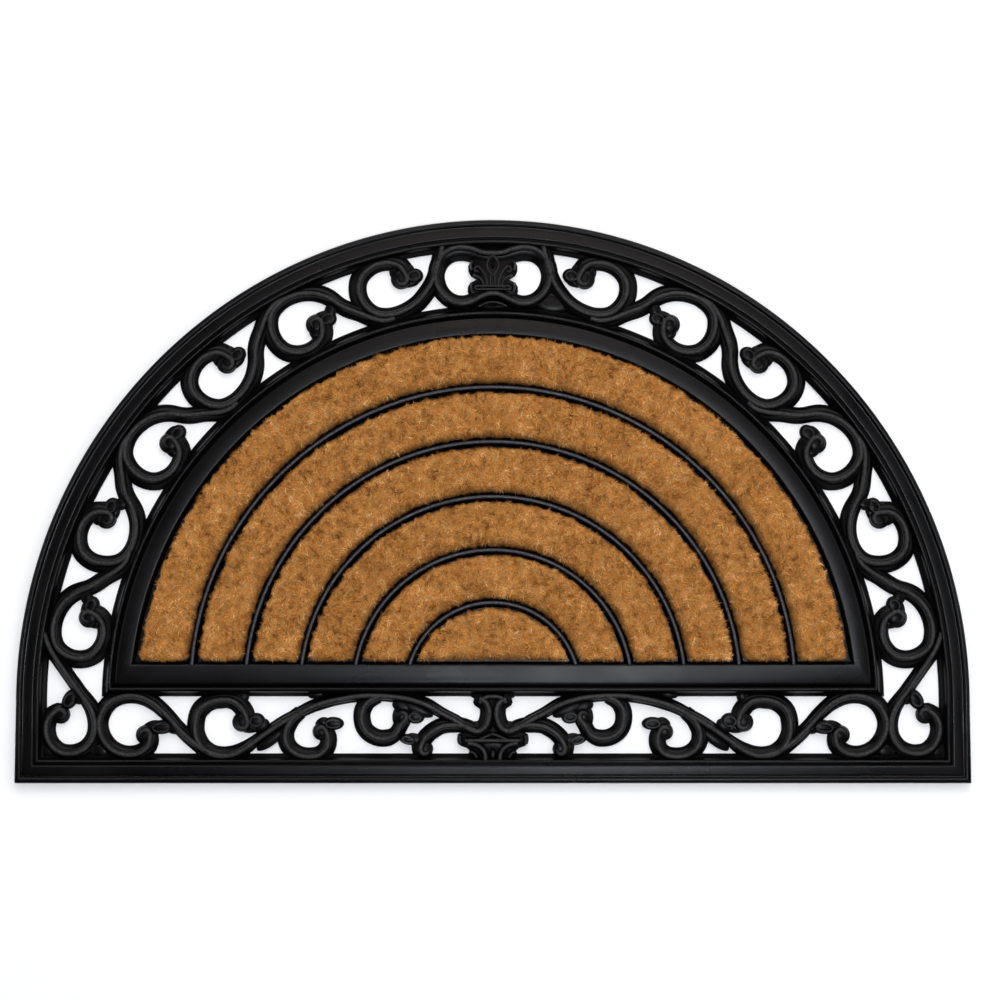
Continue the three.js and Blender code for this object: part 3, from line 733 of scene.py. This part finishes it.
def panels():
    """The half-round panel in the middle and the arches around it, inside first."""
    made = []
    centre_radius = RIB_RADII[0] - COIR_GAP
    foot_x = math.sqrt(centre_radius**2 - (COIR_FOOT - RIB_Y) ** 2) - CENTRE_CUT

    def chord(t):
        t = np.asarray(t, float)
        return np.stack([foot_x * (1 - 2 * t), np.full(t.shape, COIR_FOOT)], -1)

    arc = round_curve(centre_radius, centre_radius, RIB_Y, COIR_FOOT + CENTRE_RISE)
    made.append(Panel("coir_centre", chord, arc))
    for n, radius in enumerate(RIB_RADII):
        low = radius + COIR_GAP
        inner = round_curve(low, low, RIB_Y)
        if n < len(RIB_RADII) - 1:
            high = RIB_RADII[n + 1] - COIR_GAP
            outer = round_curve(high, high, RIB_Y)
        else:
            outer = round_curve(ARCH_RX - COIR_SIDE, ARCH_RY - COIR_CROWN, ARCH_Y)
        made.append(Panel(f"coir_band_{n + 1}", inner, outer))
    return made


def coir_slab(panel):
    """Matted body of one panel's pile, a closed lumpy slab."""
    nu, nv = int(panel.length / MAT_ALONG), max(MAT_FEWEST, int(panel.width / MAT_ACROSS))
    u = np.linspace(0, 1, nu + 1)
    v = 0.5 - 0.5 * np.cos(np.linspace(0, math.pi, nv + 1))
    u, v = np.meshgrid(u, v, indexing="ij")
    flat = panel.place(u, v)
    top = np.concatenate([flat, panel.top(u, v)[..., None]], -1)
    base = np.concatenate([flat, np.full(flat.shape[:2] + (1,), COIR_BASE_Z)], -1)
    rings = np.concatenate([top, base[:, ::-1]], 1)
    soup = Soup()
    soup.loft(rings, False)
    piece = soup_object(panel.name + "_mat", soup, 60)
    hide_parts(panel.name)
    return piece


def fibres(panel):
    """Fibres of one panel's pile: thin closed spikes, which lie most ways."""
    # Three tries for each fibre, of which the kept ones are even over the panel's area.
    wanted = int(panel.area * FIBRES_PER_MM2)
    u, v = rng.random((2, wanted * 3))
    size = panel.size(u, v)
    kept = np.flatnonzero(rng.random(len(u)) * size.max() < size)[:wanted]
    u, v = u[kept], v[kept]
    root = np.concatenate([panel.place(u, v), panel.top(u, v)[:, None]], -1)
    count = len(root)
    x, y = root[:, 0], root[:, 1]
    way = patches(x, y, LIE_PATCHES) + LIE_SPREAD * rng.standard_normal(count)
    coarse = rng.random(count) < COARSE_SHARE
    lean = np.radians(rng.triangular(*FINE_LEAN, count))
    lean[coarse] = np.radians(rng.uniform(*COARSE_LEAN, coarse.sum()))
    inside = np.clip(panel.depth(u, v) / EDGE_WIDTH, 0, 1)
    near_edge = EDGE_SHARE + (1 - EDGE_SHARE) * inside
    lean *= near_edge
    long = np.where(coarse, rng.uniform(*COARSE_LONG, count), rng.uniform(*FINE_LONG, count))
    long *= near_edge
    root[:, 2] -= np.where(coarse, COARSE_DEPTH, rng.uniform(*FINE_DEPTH, count))
    line = np.stack([np.sin(lean) * np.cos(way), np.sin(lean) * np.sin(way), np.cos(lean)], -1)
    side = np.stack([-np.sin(way), np.cos(way), np.zeros(count)], -1)
    up = np.cross(line, side)
    thick = np.where(coarse, rng.uniform(*COARSE_THICK, count), rng.uniform(*FINE_THICK, count))
    points = np.empty((count, 4, 3))
    for k in range(3):
        angle = 2 * math.pi * k / 3
        points[:, k] = root + thick[:, None] * (math.cos(angle) * side + math.sin(angle) * up)
    points[:, 3] = root + long[:, None] * line
    points[:, 3, 2] = np.minimum(points[:, 3, 2], FIBRE_TOP)
    faces = np.array([(0, 1, 3), (1, 2, 3), (2, 0, 3), (0, 2, 1)])
    faces = (np.arange(count)[:, None, None] * 4 + faces).reshape(-1, 3)
    soup = Soup()
    soup.add(points.reshape(-1, 3), faces)
    piece = soup_object(panel.name + "_fibres", soup, 80)
    own = np.where(coarse, COARSE_SPREAD, FINE_SPREAD) * rng.standard_normal(count)
    shade = np.clip(SHADE_MIDDLE + own + patches(x, y, SHADE_PATCHES), 0, 1)
    layer = piece.data.attributes.new("shade", "FLOAT", "POINT")
    layer.data.foreach_set("value", np.repeat(shade, 4).astype(np.float32))
    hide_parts(panel.name)
    return piece


def add_node(tree, kind, inputs=None, **settings):
    """Shader node with its settings, and its inputs as values or linked sockets."""
    node = tree.nodes.new(kind)
    for key, value in settings.items():
        setattr(node, key, value)
    for key, value in (inputs or {}).items():
        if isinstance(value, bpy.types.NodeSocket):
            tree.links.new(value, node.inputs[key])
        else:
            node.inputs[key].default_value = value
    return node


def new_material(name):
    """New material with its node tree and its shader."""
    material = bpy.data.materials.new(name)
    material.use_nodes = True
    tree = material.node_tree
    return material, tree, tree.nodes["Principled BSDF"]


def noise(tree, where, scale, detail, roughness):
    """Noise texture value, around 0.5."""
    inputs = {"Vector": where, "Scale": scale, "Detail": detail, "Roughness": roughness}
    return add_node(tree, "ShaderNodeTexNoise", inputs).outputs["Fac"]


def remap(tree, value, low, high, to_low, to_high):
    """A value moved from one range to another, and kept within it."""
    inputs = {
        "Value": value, "From Min": low, "From Max": high, "To Min": to_low, "To Max": to_high,
    }
    return add_node(tree, "ShaderNodeMapRange", inputs).outputs["Result"]


def ramp(tree, value, stops):
    """Colours along a value, from (place, colour) stops."""
    node = add_node(tree, "ShaderNodeValToRGB", {"Fac": value})
    marks = node.color_ramp.elements
    while len(marks) < len(stops):
        marks.new(0.5)
    for mark, (place, colour) in zip(marks, stops):
        mark.position = place
        mark.color = (*colour, 1)
    return node.outputs["Color"]


def mixed(tree, blend, share, first, second):
    """Two colours mixed by the named blend."""
    node = add_node(tree, "ShaderNodeMix", data_type="RGBA", blend_type=blend)
    for key, value in ((0, share), (6, first), (7, second)):
        if isinstance(value, bpy.types.NodeSocket):
            tree.links.new(value, node.inputs[key])
        else:
            node.inputs[key].default_value = value
    return node.outputs[2]


def rubber_material(name, gloss, highlight_from, highlight_to, highlight_colour):
    """Moulded rubber, black at its lower height, with a painted highlight greying its upper one."""
    material, tree, shader = new_material(name)
    where = add_node(tree, "ShaderNodeTexCoord").outputs["Object"]
    height = add_node(tree, "ShaderNodeSeparateXYZ", {"Vector": where}).outputs["Z"]
    blotch = noise(tree, where, scale=16.0, detail=4.0, roughness=0.6)
    body = ramp(tree, blotch, BLACK_STOPS)
    grain = noise(tree, where, scale=520.0, detail=4.0, roughness=0.65)
    # Painted highlight: the rubber's tops are greyed in colour by height, broken up by a fine
    # speckle.
    painted_highlight = mixed(tree, "MULTIPLY", 1.0, highlight_colour, ramp(tree, grain, HIGHLIGHT_SPECKLE_STOPS))
    highlight_share = remap(tree, height, highlight_from, highlight_to, 0.0, 1.0)
    tree.links.new(mixed(tree, "MIX", highlight_share, body, painted_highlight), shader.inputs["Base Color"])
    rough = remap(tree, blotch, 0.3, 0.7, to_low=0.25, to_high=0.34)
    tree.links.new(rough, shader.inputs["Roughness"])
    shader.inputs["Specular IOR Level"].default_value = gloss
    bump = add_node(tree, "ShaderNodeBump", {"Height": grain, "Strength": 0.1, "Distance": 0.0003})
    tree.links.new(bump.outputs["Normal"], shader.inputs["Normal"])
    return material


def coir_material(name, by_fibre):
    """Coir whose shade comes from each fibre, or from fine noise on a plain mat."""
    material, tree, shader = new_material(name)
    where = add_node(tree, "ShaderNodeTexCoord").outputs["Object"]
    height = add_node(tree, "ShaderNodeSeparateXYZ", {"Vector": where}).outputs["Z"]
    if by_fibre:
        shade = add_node(tree, "ShaderNodeAttribute", attribute_name="shade").outputs["Fac"]
    else:
        shade = noise(tree, where, scale=650.0, detail=4.0, roughness=0.7)
    colour = ramp(tree, shade, COIR_COLOURS)
    for scale, stops in ((55.0, WIDE_TINTS), (320.0, FINE_TINTS)):
        tint = ramp(tree, noise(tree, where, scale, detail=3.0, roughness=0.6), stops)
        colour = mixed(tree, "MULTIPLY", 1.0, colour, tint)
    # Painted shade: the pile's colour darkens towards its foot, and so down its rounded edges.
    painted_pile_shade = remap(tree, height, PILE_DARK_Z, PILE_LIGHT_Z, PILE_DARK, 1.0)
    colour = mixed(tree, "MULTIPLY", 1.0, colour, painted_pile_shade)
    tree.links.new(colour, shader.inputs["Base Color"])
    shader.inputs["Roughness"].default_value = 0.75
    shader.inputs["Specular IOR Level"].default_value = 0.25
    if not by_fibre:
        strands = noise(tree, where, scale=900.0, detail=4.0, roughness=0.7)
        relief = {"Height": strands, "Strength": 0.8, "Distance": 0.001}
        bump = add_node(tree, "ShaderNodeBump", relief)
        tree.links.new(bump.outputs["Normal"], shader.inputs["Normal"])
    return material


def floor():
    """White floor just under the mat."""
    mesh = bpy.data.meshes.new("floor")
    half, drop = 6.0, 0.0003
    corners = [(-half, -half, 0), (half, -half, 0), (half, half, 0), (-half, half, 0)]
    mesh.from_pydata(corners, [], [(0, 1, 2, 3)])
    piece = bpy.data.objects.new("floor", mesh)
    bpy.context.collection.objects.link(piece)
    material, _, shader = new_material("white_floor")
    shader.inputs["Base Color"].default_value = (0.86, 0.87, 0.88, 1)
    shader.inputs["Emission Color"].default_value = (1, 1, 1, 1)
    shader.inputs["Emission Strength"].default_value = 0.18
    shader.inputs["Roughness"].default_value = 0.9
    shader.inputs["Specular IOR Level"].default_value = 0.1
    mesh.materials.append(material)
    piece.location.z = -drop


def area_light(name, place, aim, size, power, colour):
    """Rectangular light that the camera doesn't see."""
    data = bpy.data.lights.new(name, "AREA")
    data.shape = "RECTANGLE"
    data.size, data.size_y = size
    data.energy = power
    data.color = colour
    light = bpy.data.objects.new(name, data)
    light.location = place
    way = Vector(aim) - Vector(place)
    light.rotation_euler = way.to_track_quat("-Z", "Y").to_euler()
    light.visible_camera = False
    bpy.context.collection.objects.link(light)


def camera_and_lights():
    """Camera straight above the mat, as in the photo, and soft studio lights."""
    data = bpy.data.cameras.new("camera")
    data.lens, data.sensor_width = LENS, SENSOR
    camera = bpy.data.objects.new("camera", data)
    camera.location = (*CAMERA_PLACE, PICTURE_Z + PICTURE_WIDTH * LENS / SENSOR)
    bpy.context.collection.objects.link(camera)
    scene = bpy.context.scene
    scene.camera = camera
    scene.view_settings.view_transform = "Standard"
    world = bpy.data.worlds.new("studio")
    world.use_nodes = True
    background = world.node_tree.nodes["Background"]
    background.inputs["Color"].default_value = WORLD_COLOUR
    background.inputs["Strength"].default_value = WORLD_STRENGTH
    scene.world = world
    for light in LIGHTS:
        area_light(*light)


def main():
    camera_and_lights()
    floor()
    base_rubber = rubber_material("rubber_base", *BASE_RUBBER)
    bar_rubber = rubber_material("rubber_bars", *BAR_RUBBER)
    mat_coir = coir_material("coir_body", False)
    fibre_coir = coir_material("coir_fibre", True)
    base = rim_and_tray()
    scrolls = scrollwork()
    base.data.materials.append(base_rubber)
    scrolls.data.materials.append(bar_rubber)
    for panel in panels():
        slab, pile = coir_slab(panel), fibres(panel)
        slab.data.materials.append(mat_coir)
        pile.data.materials.append(fibre_coir)


main()
